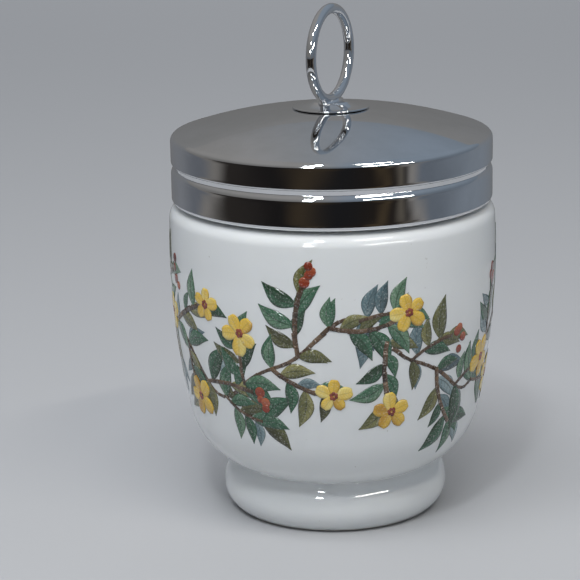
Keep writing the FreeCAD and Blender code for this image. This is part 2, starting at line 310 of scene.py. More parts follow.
# Lines left by turning or spinning, which run round the axis: noise in radius and height
lines, lines_in, lines_out = new_group(
    "turned_lines", [("Place", "Vector", None), ("Lines", "Float", 2500.0)], [("Height", "Float")])
lines_split = lines.nodes.new("ShaderNodeSeparateXYZ")
wire(lines, (lines_in, "Place"), (lines_split, "Vector"))
lines_square = math_node(lines, "MULTIPLY", (lines_split, "Y"), (lines_split, "Y"))
lines_square = math_node(lines, "MULTIPLY_ADD", (lines_split, "X"), (lines_split, "X"), lines_square)
lines_join = lines.nodes.new("ShaderNodeCombineXYZ")
wire(lines, math_node(lines, "SQRT", lines_square), (lines_join, "X"))
wire(lines, (lines_split, "Z"), (lines_join, "Z"))
wire(lines, noise_node(lines, (lines_join, "Vector"), (lines_in, "Lines"), 3.0), (lines_out, "Height"))


def use_group(tree, group, place, values):
    node = tree.nodes.new("ShaderNodeGroup")
    node.node_tree = group
    wire(tree, place, (node, "Place"))
    for name, value in values.items():
        node.inputs[name].default_value = value
    return node


def add_bump(tree, shader, height, strength, distance):
    bump = tree.nodes.new("ShaderNodeBump")
    bump.inputs["Strength"].default_value = strength
    bump.inputs["Distance"].default_value = distance
    wire(tree, height, (bump, "Height"))
    wire(tree, (bump, "Normal"), (shader, "Normal"))


# The cup is one fired piece of hard white porcelain: foot, bowl, rounded shoulder and a neck with
# a moulded thread. It is glazed all over, apart from the ring that it stands on.
CUP_SECTORS = 224
CONTACT_INSIDE = 0.0186
CONTACT_OUTSIDE = 0.0214
CONTACT_ROUND = 0.0003
RECESS_WALL = (0.0174, 0.0054)
RECESS_CORNER = 0.0022
RECESS_HEIGHT = 0.0076
FOOT_BELLY = (0.02435, 0.0049)
WAIST = (0.0220, 0.0109)
WAIST_CORNER = 0.0002
TURN = (0.0314, 0.0225)
BODY_RADIUS = 0.0350
BODY_HEIGHT = 0.0570
SHOULDER = (0.03483, 0.0647)
LEDGE_EDGE = 0.031694
LEDGE_HEIGHT = 0.0677
WALL = 0.0031
INSIDE_TURN_RISE = 0.3
FLOOR_HEIGHT = 0.0130
THROAT = (0.0300, 0.0635)
NECK_RADIUS = 0.0306
NECK_WALL = 0.0031
NECK_ROOT = 0.0009
RIM_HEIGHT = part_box("cup")[1].z
RIM_ROUND = 0.0013
THREAD_PITCH = 0.0045
NECK_THREAD_START = 0.0710
NECK_THREAD_TURNS = 1.5
NECK_THREAD_DEPTH = 0.0012
NECK_THREAD_HALF = 0.0014
NECK_THREAD_RUN_OUT = 0.14
THREAD_FLANK = 0.62
SAME_RADIUS = 0.00005
GLAZE_WHITE = (0.80, 0.815, 0.81, 1)
GLAZE_SHADE = (0.755, 0.775, 0.775, 1)
GLAZE_SPECK = (0.56, 0.55, 0.52, 1)
BARE_CLAY_LIGHT = (0.66, 0.63, 0.57, 1)
BARE_CLAY_DARK = (0.52, 0.49, 0.44, 1)
GLAZE_MARKS = {"Smudge Scale": 45.0, "Grain Scale": 620.0}
GLAZE_IOR = 1.54
# headings of an outline, as (outward, upward)
UP = (0, 1)
DOWN = (0, -1)
OUT = (1, 0)
IN = (-1, 0)


def bend(points, end, heading, steps, known="start"):
    # adds an arc from the last point to end, whose heading is known at its start or its end,
    # and gives back the heading at the other end
    start, finish = Vector(points[-1]), Vector(end)
    held, free = (start, finish) if known == "start" else (finish, start)
    along = Vector(heading).normalized()
    across = Vector((-along.y, along.x))
    chord = free - held
    radius = chord.length_squared / (2 * chord.dot(across))
    centre = held + across * radius
    first = math.atan2(start.y - centre.y, start.x - centre.x)
    last = math.atan2(finish.y - centre.y, finish.x - centre.x)
    sweep = (last - first + math.pi) % (2 * math.pi) - math.pi
    for step in range(1, steps + 1):
        angle = first + sweep * step / steps
        points.append((centre.x + abs(radius) * math.cos(angle), centre.y + abs(radius) * math.sin(angle)))
    turned = last if known == "start" else first
    side = 1 if sweep > 0 else -1
    return (-side * math.sin(turned), side * math.cos(turned))


def run(points, end, steps):
    # adds a straight line from the last point to end
    start = Vector(points[-1])
    for step in range(1, steps + 1):
        points.append(tuple(start.lerp(Vector(end), step / steps)))


def turn_on_lathe(name, outline, sectors, closed=False, shift=None):
    # revolves an outline of (radius, height) points; shift moves a point (radius, height, angle)
    # in or out, as a moulded thread does
    vertices = []
    rows = []
    for radius, height in outline:
        if radius < 1e-7:
            rows.append([len(vertices)] * sectors)
            vertices.append((0, 0, height))
            continue
        row = []
        for sector in range(sectors):
            angle = 2 * math.pi * sector / sectors
            here = radius + (shift(radius, height, angle) if shift else 0.0)
            row.append(len(vertices))
            vertices.append((here * math.cos(angle), here * math.sin(angle), height))
        rows.append(row)
    faces = []
    pairs = list(zip(rows, rows[1:]))
    if closed:
        pairs.append((rows[-1], rows[0]))
    for low, high in pairs:
        for sector in range(sectors):
            after = (sector + 1) % sectors
            corners = [low[sector], low[after], high[after], high[sector]]
            corners = [c for k, c in enumerate(corners) if c != corners[k - 1]]
            if len(corners) > 2:
                faces.append(corners)
    item = place_mesh(name, vertices, faces)
    smooth(item)
    return item


def smooth(item):
    for polygon in item.data.polygons:
        polygon.use_smooth = True


def helix_ridge(height, angle, start, turns, half_width, depth, run_out):
    # how far a thread's ridge stands out at this place, with its ends fading into the wall
    most = 0.0
    for lap in range(int(turns) + 2):
        along = angle / (2 * math.pi) + lap
        if along > turns:
            continue
        off = abs(height - start - THREAD_PITCH * along) / half_width
        if off >= 1:
            continue
        fade = min(1.0, along / run_out, (turns - along) / run_out)
        flank = min(1.0, (1 - off) / THREAD_FLANK)
        most = max(most, depth * ease(fade) * ease(flank))
    return most


def bowl_side():
    # the outside of the bowl from the waist up to the shoulder
    side = [TURN]
    lower_heading = bend(side, (BODY_RADIUS, BODY_HEIGHT), UP, 34, known="end")
    points = [(WAIST[0] + WAIST_CORNER / 2, WAIST[1])]
    bend(points, TURN, lower_heading, 26, known="end")
    points += side[1:]
    upper_heading = bend(points, SHOULDER, UP, 10)
    return points, upper_heading


def cup_outline():
    mouth = NECK_RADIUS - NECK_WALL
    inside = BODY_RADIUS - WALL
    inside_turn = (TURN[0] - WALL, TURN[1] + WALL * INSIDE_TURN_RISE)
    points = [(0, RECESS_HEIGHT)]
    run(points, (RECESS_WALL[0] - RECESS_CORNER, RECESS_HEIGHT), 6)
    bend(points, RECESS_WALL, OUT, 8)
    run(points, (CONTACT_INSIDE - CONTACT_ROUND * 2 / 3, CONTACT_ROUND), 5)
    bend(points, (CONTACT_INSIDE + CONTACT_ROUND, 0), OUT, 3, known="end")
    run(points, (CONTACT_OUTSIDE - CONTACT_ROUND, 0), 4)
    bend(points, (CONTACT_OUTSIDE + CONTACT_ROUND * 2 / 3, CONTACT_ROUND / 3), OUT, 2)
    bend(points, FOOT_BELLY, UP, 16, known="end")
    bend(points, (WAIST[0] + WAIST_CORNER, WAIST[1] - WAIST_CORNER), UP, 16)
    side, upper_heading = bowl_side()
    points += side
    bend(points, (LEDGE_EDGE, LEDGE_HEIGHT), upper_heading, 14)
    run(points, (NECK_RADIUS + NECK_ROOT, LEDGE_HEIGHT), 2)
    bend(points, (NECK_RADIUS, LEDGE_HEIGHT + NECK_ROOT), IN, 6)
    run(points, (NECK_RADIUS, RIM_HEIGHT - RIM_ROUND), 44)
    bend(points, (NECK_RADIUS - RIM_ROUND, RIM_HEIGHT), UP, 8)
    run(points, (mouth + RIM_ROUND, RIM_HEIGHT), 2)
    bend(points, (mouth, RIM_HEIGHT - RIM_ROUND), IN, 8)
    inner = [(inside, BODY_HEIGHT)]
    throat_heading = bend(inner, THROAT, UP, 8)
    slope = math.acos(throat_heading[1])
    throat_curve = (THROAT[0] - mouth) / (1 - math.cos(slope))
    run(points, (mouth, THROAT[1] + throat_curve * math.sin(slope)), 8)
    bend(points, THROAT, DOWN, 10)
    points += inner[::-1][1:]
    floor_heading = bend(points, inside_turn, DOWN, 24)
    floor_drop = inside_turn[1] - FLOOR_HEIGHT
    fall = math.acos(-floor_heading[1])
    floor_curve = floor_drop / (1 - math.sin(fall))
    bend(points, (inside_turn[0] - floor_curve * math.cos(fall), FLOOR_HEIGHT), floor_heading, 20)
    run(points, (0, FLOOR_HEIGHT), 8)
    return points


def neck_shift(radius, height, angle):
    # the thread stands on the neck's straight outside only
    if abs(radius - NECK_RADIUS) > SAME_RADIUS or not LEDGE_HEIGHT < height < RIM_HEIGHT:
        return 0.0
    return helix_ridge(height, angle, NECK_THREAD_START, NECK_THREAD_TURNS, NECK_THREAD_HALF,
                       NECK_THREAD_DEPTH, NECK_THREAD_RUN_OUT)


cup = turn_on_lathe("porcelain_cup", cup_outline(), CUP_SECTORS, shift=neck_shift)

porcelain, porcelain_shader = new_material("glazed_porcelain")
glaze = porcelain.node_tree
glaze_place = glaze.nodes.new("ShaderNodeTexCoord")
glaze_split = glaze.nodes.new("ShaderNodeSeparateXYZ")
wire(glaze, (glaze_place, "Object"), (glaze_split, "Vector"))
glaze_marks = use_group(glaze, marks, (glaze_place, "Object"), GLAZE_MARKS)
glaze_tone = noise_node(glaze, (glaze_place, "Object"), 26.0, 3.0)
glaze_white = mix_colours(glaze, glaze_tone, GLAZE_WHITE, GLAZE_SHADE)
specks = range_node(glaze, (glaze_marks, "Grain"), 0.735, 0.80)
glaze_specked = mix_colours(glaze, specks, glaze_white, GLAZE_SPECK)
bare = range_node(glaze, (glaze_split, "Z"), 0.00025, 0.0008, 1.0, 0.0)
bare_clay = mix_colours(glaze, (glaze_marks, "Grain"), BARE_CLAY_LIGHT, BARE_CLAY_DARK)
wire(glaze, mix_colours(glaze, bare, glaze_specked, bare_clay), (porcelain_shader, "Base Color"))
glaze_gloss = math_node(glaze, "MULTIPLY_ADD", (glaze_marks, "Smudge"), 0.035, 0.03)
wire(glaze, math_node(glaze, "MULTIPLY_ADD", bare, 0.6, glaze_gloss), (porcelain_shader, "Roughness"))
glaze_waves = noise_node(glaze, (glaze_place, "Object"), 110.0, 1.0)
add_bump(glaze, porcelain_shader, glaze_waves, 0.25, 0.00006)
porcelain_shader.inputs["IOR"].default_value = GLAZE_IOR
porcelain_shader.inputs["Subsurface Weight"].default_value = 0.12
porcelain_shader.inputs["Subsurface Radius"].default_value = (0.0012, 0.0011, 0.0009)
porcelain_shader.inputs["Subsurface Scale"].default_value = 1.0
cup.data.materials.append(porcelain)
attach(cup, "cup")
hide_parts("cup")


# The bowl carries a printed design, fired into the glaze: a winding stem with leaves, yellow
# blossoms and red berries. Each colour is a thin film of enamel; stems lie lowest, blossoms on top.
PRINT_LIFT = 0.000035
PRINT_LAYER_STEP = 0.0000004
LEAF_LAYER = 0.00001
BERRY_LAYER = 0.00007
PETAL_LAYER = 0.00008
EYE_LAYER = 0.00013
STEM_REACH = 0.066
STEM_STROKES = 90
STEM_MIDDLE = 0.0405
STEM_SWING = 0.0082
STEM_WAVE = 0.058
STEM_SHIFT = 0.012
STEM_SMALL_SWING = 0.0016
STEM_SMALL_WAVE = 0.021
STEM_SMALL_SHIFT = 0.8
TWIG_STEPS = 7
TWIG_GAP = 0.0062
TWIG_MARGIN = 0.003
TWIG_HIGHEST = 0.0625
TWIG_LOWEST = 0.0185
BLOSSOM_SIZE = 0.0088
EYE_RING = 0.0006
EYE_SIZE = 0.0008
chance = random.Random(11)


def stem_height(along):
    # the stem's height on the bowl at a distance along it, with a slow and a quicker swing
    return (STEM_MIDDLE + STEM_SWING * math.sin(2 * math.pi * (along + STEM_SHIFT) / STEM_WAVE)
            + STEM_SMALL_SWING * math.sin(2 * math.pi * along / STEM_SMALL_WAVE + STEM_SMALL_SHIFT))


def blank(name, outline, rows):
    # a flat closed motif of unit length along +X: outline(t) gives the middle line's bow and the
    # half width; each point keeps its place along and across in the attribute "brush"
    lanes = (-1.0, -0.6, -0.2, 0.2, 0.6, 1.0)
    vertices = []
    places = []
    faces = []
    for level in (PRINT_LIFT, -PRINT_LIFT):
        for row in range(rows + 1):
            t = row / rows
            bow, half = outline(t)
            for lane in lanes:
                vertices.append((t, bow + half * lane, level))
                places.append((t, lane, 0.0))
    count = len(lanes)
    sheet = (rows + 1) * count
    for row in range(rows):
        for lane in range(count - 1):
            a = row * count + lane
            faces.append((a, a + count, a + count + 1, a + 1))
            faces.append((sheet + a, sheet + a + 1, sheet + a + count + 1, sheet + a + count))
    rim = [row * count for row in range(rows + 1)]
    rim += [rows * count + lane for lane in range(1, count)]
    rim += [row * count + count - 1 for row in range(rows - 1, -1, -1)]
    rim += [lane for lane in range(count - 2, 0, -1)]
    for k, a in enumerate(rim):
        b = rim[(k + 1) % len(rim)]
        faces.append((a, sheet + a, sheet + b, b))
    item = place_mesh(name, vertices, faces)
    brush = item.data.attributes.new("brush", "FLOAT_VECTOR", "POINT")
    for index, place in enumerate(places):
        brush.data[index].vector = place
    return item


def leaf_outline(t):
    return 0.10 * math.sin(math.pi * t), 0.006 + 0.20 * math.sin(math.pi * t ** 0.82) ** 1.15


def petal_outline(t):
    return 0.0, 0.03 + 0.33 * math.sin(math.pi * min(1.0, 0.12 + 0.80 * t) ** 1.5) ** 0.8


def dot_outline(t):
    return 0.0, 0.5 * math.sqrt(max(0.0, 1 - (2 * t - 1) ** 2)) + 0.01


# Stamps one motif on each point of a cloud: "heading" turns it, "reach" sizes it, each copy gets
# a "tint" of its own and lies a hair above the last, so that overlaps never share a surface
stamp = bpy.data.node_groups.new("stamp_motif", "GeometryNodeTree")
for socket_name, kind in (("Geometry", "Geometry"), ("Motif", "Object"), ("Smallest", "Float"),
                          ("Largest", "Float"), ("Turn", "Float"), ("Layer Step", "Float"),
                          ("Seed", "Int"), ("Material", "Material")):
    stamp.interface.new_socket(socket_name, in_out="INPUT", socket_type="NodeSocket" + kind)
stamp.interface.new_socket("Geometry", in_out="OUTPUT", socket_type="NodeSocketGeometry")
stamp_in = stamp.nodes.new("NodeGroupInput")
stamp_out = stamp.nodes.new("NodeGroupOutput")
stamp_motif = stamp.nodes.new("GeometryNodeObjectInfo")
stamp_heading = stamp.nodes.new("GeometryNodeInputNamedAttribute")
stamp_heading.inputs["Name"].default_value = "heading"
stamp_reach = stamp.nodes.new("GeometryNodeInputNamedAttribute")
stamp_reach.inputs["Name"].default_value = "reach"
stamp_jitter = stamp.nodes.new("FunctionNodeRandomValue")
stamp_size = stamp.nodes.new("FunctionNodeRandomValue")
stamp_tint = stamp.nodes.new("FunctionNodeRandomValue")
stamp_back = math_node(stamp, "MULTIPLY", (stamp_in, "Turn"), -1.0)
wire(stamp, stamp_back, (stamp_jitter, 2))
wire(stamp, (stamp_in, "Turn"), (stamp_jitter, 3))
wire(stamp, (stamp_in, "Smallest"), (stamp_size, 2))
wire(stamp, (stamp_in, "Largest"), (stamp_size, 3))
for node, extra in ((stamp_jitter, 1), (stamp_size, 2), (stamp_tint, 3)):
    wire(stamp, math_node(stamp, "ADD", (stamp_in, "Seed"), extra), (node, "Seed"))
stamp_turn = stamp.nodes.new("ShaderNodeCombineXYZ")
wire(stamp, math_node(stamp, "ADD", (stamp_heading, "Attribute"), (stamp_jitter, 1)), (stamp_turn, "Z"))
stamp_lift = stamp.nodes.new("ShaderNodeCombineXYZ")
stamp_index = stamp.nodes.new("GeometryNodeInputIndex")
stamp_layer = math_node(stamp, "MULTIPLY", (stamp_index, "Index"), (stamp_in, "Layer Step"))
wire(stamp, stamp_layer, (stamp_lift, "Z"))
stamp_points = stamp.nodes.new("GeometryNodeMeshToPoints")
stamp_raise = stamp.nodes.new("GeometryNodeSetPosition")
stamp_copies = stamp.nodes.new("GeometryNodeInstanceOnPoints")
stamp_scale = stamp.nodes.new("ShaderNodeCombineXYZ")
stamp_grow = math_node(stamp, "MULTIPLY", (stamp_reach, "Attribute"), (stamp_size, 1))
wire(stamp, stamp_grow, (stamp_scale, "X"))
wire(stamp, stamp_grow, (stamp_scale, "Y"))
stamp_scale.inputs["Z"].default_value = 1.0
stamp_store = stamp.nodes.new("GeometryNodeStoreNamedAttribute")
stamp_store.data_type = "FLOAT"
stamp_store.domain = "INSTANCE"
stamp_store.inputs["Name"].default_value = "tint"
stamp_real = stamp.nodes.new("GeometryNodeRealizeInstances")
stamp_paint = stamp.nodes.new("GeometryNodeSetMaterial")
for source, target in (
        ((stamp_in, "Geometry"), (stamp_points, "Mesh")),
        ((stamp_points, "Points"), (stamp_raise, "Geometry")),
        ((stamp_lift, "Vector"), (stamp_raise, "Offset")),
        ((stamp_raise, "Geometry"), (stamp_copies, "Points")),
        ((stamp_in, "Motif"), (stamp_motif, "Object")),
        ((stamp_motif, "Geometry"), (stamp_copies, "Instance")),
        ((stamp_turn, "Vector"), (stamp_copies, "Rotation")),
        ((stamp_scale, "Vector"), (stamp_copies, "Scale")),
        ((stamp_copies, "Instances"), (stamp_store, "Geometry")),
        ((stamp_tint, 1), (stamp_store, "Value")),
        ((stamp_store, "Geometry"), (stamp_real, "Geometry")),
        ((stamp_real, "Geometry"), (stamp_paint, "Geometry")),
        ((stamp_in, "Material"), (stamp_paint, "Material")),
        ((stamp_paint, "Geometry"), (stamp_out, "Geometry"))):
    wire(stamp, source, target)


# Enamel laid on with a brush: three shades, veins along the motif, an inked edge, and the porcelain
# showing through a little
brushwork, brush_in, brush_out = new_group(
    "brushwork",
    [("Place", "Vector", None), ("Dark", "Color", (0, 0, 0, 1)), ("Middle", "Color", (0, 0, 0, 1)),
     ("Light", "Color", (1, 1, 1, 1)), ("Veins", "Float", 0.5), ("Thin", "Float", 0.1)],
    [("Colour", "Color"), ("Height", "Float")])
brush_place = brushwork.nodes.new("ShaderNodeAttribute")
brush_place.attribute_name = "brush"
brush_tint = brushwork.nodes.new("ShaderNodeAttribute")
brush_tint.attribute_name = "tint"
brush_split = brushwork.nodes.new("ShaderNodeSeparateXYZ")
wire(brushwork, (brush_place, "Vector"), (brush_split, "Vector"))
brush_wash = noise_node(brushwork, (brush_in, "Place"), 420.0, 4.0, 0.6)
brush_side = math_node(brushwork, "MULTIPLY", (brush_split, "Y"), 0.16)
brush_shade = math_node(brushwork, "MULTIPLY_ADD", brush_wash, 0.5, brush_side)
brush_shade = math_node(brushwork, "MULTIPLY_ADD", (brush_tint, "Fac"), 0.62, brush_shade)
brush_low = range_node(brushwork, brush_shade, 0.12, 0.55)
brush_high = range_node(brushwork, brush_shade, 0.55, 1.02)
brush_colour = mix_colours(brushwork, brush_low, (brush_in, "Dark"), (brush_in, "Middle"))
brush_colour = mix_colours(brushwork, brush_high, brush_colour, (brush_in, "Light"))
brush_across = math_node(brushwork, "ABSOLUTE", (brush_split, "Y"))
brush_rib = range_node(brushwork, brush_across, 0.03, 0.13, 1.0, 0.0)
brush_slant = math_node(brushwork, "SUBTRACT", math_node(brushwork, "MULTIPLY", (brush_split, "X"), 44.0),
                        math_node(brushwork, "MULTIPLY", brush_across, 9.0))
brush_vein = range_node(brushwork, math_node(brushwork, "SINE", brush_slant), 0.55, 0.95)
brush_edge = range_node(brushwork, brush_across, 0.80, 0.99)
brush_ink = math_node(brushwork, "MAXIMUM", brush_rib, math_node(brushwork, "MULTIPLY", brush_vein, 0.55))
brush_ink = math_node(brushwork, "MULTIPLY", math_node(brushwork, "MAXIMUM", brush_ink, brush_edge),
                      (brush_in, "Veins"))
brush_dark = mix_colours(brushwork, 0.45, (brush_in, "Dark"), (0.010, 0.014, 0.012, 1))
brush_colour = mix_colours(brushwork, brush_ink, brush_colour, brush_dark)
brush_holes = range_node(brushwork, noise_node(brushwork, (brush_in, "Place"), 2600.0, 2.0), 0.50, 0.85)
brush_through = math_node(brushwork, "MULTIPLY", brush_holes, (brush_in, "Thin"))
brush_colour = mix_colours(brushwork, brush_through, brush_colour, (0.78, 0.79, 0.77, 1))
wire(brushwork, brush_colour, (brush_out, "Colour"))
wire(brushwork, brush_wash, (brush_out, "Height"))


def print_material(name, dark, middle, light, veins, thin):
    # one enamel: three shades of its colour, how strongly it is veined and how thin it is laid on
    material, shader = new_material(name)
    tree = material.node_tree
    place = tree.nodes.new("ShaderNodeTexCoord")
    node = use_group(tree, brushwork, (place, "Object"),
                     {"Dark": (*dark, 1), "Middle": (*middle, 1), "Light": (*light, 1), "Veins": veins,
                      "Thin": thin})
    film = use_group(tree, marks, (place, "Object"), GLAZE_MARKS)
    wire(tree, (node, "Colour"), (shader, "Base Color"))
    wire(tree, math_node(tree, "MULTIPLY_ADD", (film, "Smudge"), 0.05, 0.06), (shader, "Roughness"))
    add_bump(tree, shader, (node, "Height"), 0.15, 0.00003)
    shader.inputs["IOR"].default_value = GLAZE_IOR
    return material


green_enamel = print_material("printed_leaf", (0.020, 0.045, 0.022), (0.045, 0.135, 0.075),
                              (0.16, 0.27, 0.17), 0.75, 0.45)
blue_enamel = print_material("printed_blue_leaf", (0.045, 0.075, 0.085), (0.12, 0.19, 0.21),
                             (0.33, 0.42, 0.43), 0.65, 0.45)
olive_enamel = print_material("printed_olive_leaf", (0.040, 0.040, 0.016), (0.115, 0.120, 0.045),
                              (0.33, 0.31, 0.12), 0.70, 0.40)
petal_enamel = print_material("printed_petal", (0.50, 0.27, 0.035), (0.78, 0.52, 0.07),
                              (0.84, 0.70, 0.24), 0.30, 0.35)
berry_enamel = print_material("printed_berry", (0.10, 0.016, 0.010), (0.26, 0.045, 0.022),
                              (0.45, 0.13, 0.06), 0.25, 0.25)
stem_enamel = print_material("printed_stem", (0.030, 0.017, 0.010), (0.085, 0.048, 0.026),
                             (0.19, 0.12, 0.07), 0.35, 0.35)


def wrap_on_bowl(mesh):
    # lays a flat print, drawn as distance round the bowl and height, on the bowl's outside
    side, _ = bowl_side()
    for vertex in mesh.vertices:
        round_place, height, layer = vertex.co
        for (low_radius, low), (high_radius, high) in zip(side, side[1:]):
            if low <= height <= high:
                break
        share = (height - low) / (high - low)
        slope = Vector((high - low, low_radius - high_radius)).normalized()
        radius = low_radius + (high_radius - low_radius) * share + layer * slope.x
        angle = round_place / BODY_RADIUS - math.pi / 2
        vertex.co = (radius * math.cos(angle), radius * math.sin(angle), height + layer * slope.y)
    mesh.update()


def stamp_print(name, places, motif, layer, smallest, largest, turn, seed, material):
    # places holds (along, height, heading, reach); the result is a closed mesh on the bowl
    cloud = place_mesh(name + "_places", [(along, height, layer) for along, height, _, _ in places], [])
    for attribute, column in (("heading", 2), ("reach", 3)):
        values = cloud.data.attributes.new(attribute, "FLOAT", "POINT")
        for index, place in enumerate(places):
            values.data[index].value = place[column]
    modifier = cloud.modifiers.new("stamp", "NODES")
    modifier.node_group = stamp
    sockets = {item.name: item.identifier for item in stamp.interface.items_tree if item.in_out == "INPUT"}
    for socket_name, value in (("Motif", motif), ("Smallest", smallest), ("Largest", largest),
                               ("Turn", turn), ("Layer Step", PRINT_LAYER_STEP), ("Seed", seed),
                               ("Material", material)):
        modifier[sockets[socket_name]] = value
    graph = bpy.context.evaluated_depsgraph_get()
    mesh = bpy.data.meshes.new_from_object(cloud.evaluated_get(graph))
    bpy.data.objects.remove(cloud)
    mesh.name = name
    wrap_on_bowl(mesh)
    item = bpy.data.objects.new(name, mesh)
    scene.collection.objects.link(item)
    smooth(item)
    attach(item, "cup")


def twig_path(start, heading, length, curl):
    # a curved twig of even steps, and the heading at its tip
    points = [start]
    pace = length / TWIG_STEPS
    for _ in range(TWIG_STEPS):
        heading += curl / TWIG_STEPS
        along, height = points[-1]
        points.append((along + pace * math.cos(heading), height + pace * math.sin(heading)))
    return points, heading


leaf_blank = blank("leaf_blank", leaf_outline, 12)
petal_blank = blank("petal_blank", petal_outline, 8)
dot_blank = blank("dot_blank", dot_outline, 14)
stroke_blank = blank("stroke_blank", lambda t: (0.0, 0.17), 3)
green_leaves = []
blue_leaves = []
olive_leaves = []
strokes = []
petals = []
berries = []
eyes = []


def add_strokes(path):
    # one short stroke for each step of a path, a little longer than the step at both ends
    for (u0, v0), (u1, v1) in zip(path, path[1:]):
        length = math.hypot(u1 - u0, v1 - v0)
        heading = math.atan2(v1 - v0, u1 - u0)
        strokes.append((u0 - 0.15 * (u1 - u0), v0 - 0.15 * (v1 - v0), heading, length * 1.3))


def add_leaf(place, heading, lengths, side=0, spread=None):
    # a leaf of one of the three colours, which may lean to a side by a chance angle within spread
    leaves = chance.choices((green_leaves, blue_leaves, olive_leaves), (0.58, 0.20, 0.22))[0]
    if spread:
        heading += side * chance.uniform(*spread)
    leaves.append((*place, heading, chance.uniform(*lengths)))


def add_blossom(u, v, size):
    # five petals round a ring of small dots
    turn = chance.uniform(0, 2 * math.pi)
    for k in range(5):
        petals.append((u, v, turn + 2 * math.pi * k / 5 + chance.uniform(-0.1, 0.1), size / 2))
    for k in range(6):
        angle = turn + k * math.pi / 3
        eyes.append((u + EYE_RING * math.cos(angle) - EYE_RING / 2, v + EYE_RING * math.sin(angle),
                     0.0, EYE_SIZE))


stem_places = [-STEM_REACH + 2 * STEM_REACH * k / STEM_STROKES for k in range(STEM_STROKES + 1)]
add_strokes([(along, stem_height(along)) for along in stem_places])
along = -STEM_REACH + TWIG_MARGIN
twig_number = 0
while along < STEM_REACH - TWIG_MARGIN:
    side = 1 if twig_number % 2 else -1
    start = (along, stem_height(along))
    lean = math.atan2(stem_height(along + 0.001) - start[1], 0.001)
    room = (TWIG_HIGHEST - start[1]) if side > 0 else (start[1] - TWIG_LOWEST)
    length = min(room * chance.uniform(0.74, 0.92), chance.uniform(0.011, 0.017))
    heading = lean + side * chance.uniform(0.85, 1.15)
    path, last = twig_path(start, heading, length, -side * chance.uniform(0.2, 0.7))
    add_strokes(path)
    for k in range(1, TWIG_STEPS):
        add_leaf(path[k], heading, (0.0055, 0.0088), 1 if k % 2 else -1, (0.55, 0.95))
    tip = path[-1]
    kind = twig_number % 4
    if kind in (0, 3):
        add_blossom(*tip, BLOSSOM_SIZE * chance.uniform(0.85, 1.1))
    elif kind == 1:
        for k in range(4):
            angle = last + chance.uniform(-1.2, 1.2)
            reach = 0.0011 + 0.0010 * k
            berries.append((tip[0] + reach * math.cos(angle), tip[1] + reach * math.sin(angle), 0.0,
                            chance.uniform(0.0017, 0.0024)))
    else:
        for k in range(3):
            add_leaf(tip, last + (k - 1) * 0.7, (0.006, 0.009))
    for k in range(2):
        add_leaf(start, lean, (0.006, 0.0095), -side, (0.5, 1.2))
    along += TWIG_GAP * chance.uniform(0.9, 1.15)
    twig_number += 1

stamp_print("printed_stems", strokes, stroke_blank, 0.0, 0.95, 1.15, 0.05, 3, stem_enamel)
stamp_print("printed_green_leaves", green_leaves, leaf_blank, LEAF_LAYER, 0.85, 1.2, 0.12, 5, green_enamel)
stamp_print("printed_blue_leaves", blue_leaves, leaf_blank, LEAF_LAYER, 0.85, 1.15, 0.12, 7, blue_enamel)
stamp_print("printed_olive_leaves", olive_leaves, leaf_blank, LEAF_LAYER, 0.85, 1.15, 0.12, 9, olive_enamel)
stamp_print("printed_petals", petals, petal_blank, PETAL_LAYER, 0.9, 1.1, 0.08, 11, petal_enamel)
stamp_print("printed_berries", berries, dot_blank, BERRY_LAYER, 0.9, 1.1, 0.2, 13, berry_enamel)
stamp_print("printed_blossom_eyes", eyes, dot_blank, EYE_LAYER, 0.9, 1.1, 0.2, 15, berry_enamel)
for motif in (leaf_blank, petal_blank, dot_blank, stroke_blank):
    bpy.data.objects.remove(motif)


# The lid's outer cap is pressed from thin sheet and chromed: a domed top, two bands with a groove
# between them, and an edge that is turned in under the inner cap.
LID_SECTORS = 256
LID_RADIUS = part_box("lid_shell")[1].x
LID_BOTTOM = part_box("lid_shell")[0].z
LID_SHEET = 0.0005
CURL_RADIUS = 0.0009
BAND_TOP = LID_BOTTOM + 0.00595
GROOVE_HEIGHT = BAND_TOP + 0.00135
GROOVE_TOP = GROOVE_HEIGHT + 0.00115
GROOVE_LIP = 0.00025
GROOVE_RADIUS = LID_RADIUS - 0.0006
LID_EDGE_HEIGHT = RIM_HEIGHT + 0.0001
LID_EDGE_ROUND = 0.00095
LID_EDGE_RISE = 0.00127
DOME_RISE = 0.0054
DOME_STEPS = 40
SHANK_RADIUS = 0.0016
SHANK_CLEARANCE = 0.00005
THREAD_ROOM = 0.0017
LINER_INSIDE = NECK_RADIUS + THREAD_ROOM


def dome_height(radius, lower):
    # the height of the domed top's outside, or of a face that lies lower than it
    edge = LID_RADIUS - LID_EDGE_ROUND
    curve = (edge ** 2 + DOME_RISE ** 2) / (2 * DOME_RISE)
    top = LID_EDGE_HEIGHT + LID_EDGE_RISE + DOME_RISE
    return top - curve + math.sqrt((curve - lower) ** 2 - radius ** 2)


def dome_run(start, end, steps, lower):
    # points along the dome, or along a face that lies lower than it, from one radius to another
    radii = [start + (end - start) * k / steps for k in range(steps + 1)]
    return [(radius, dome_height(radius, lower)) for radius in radii]


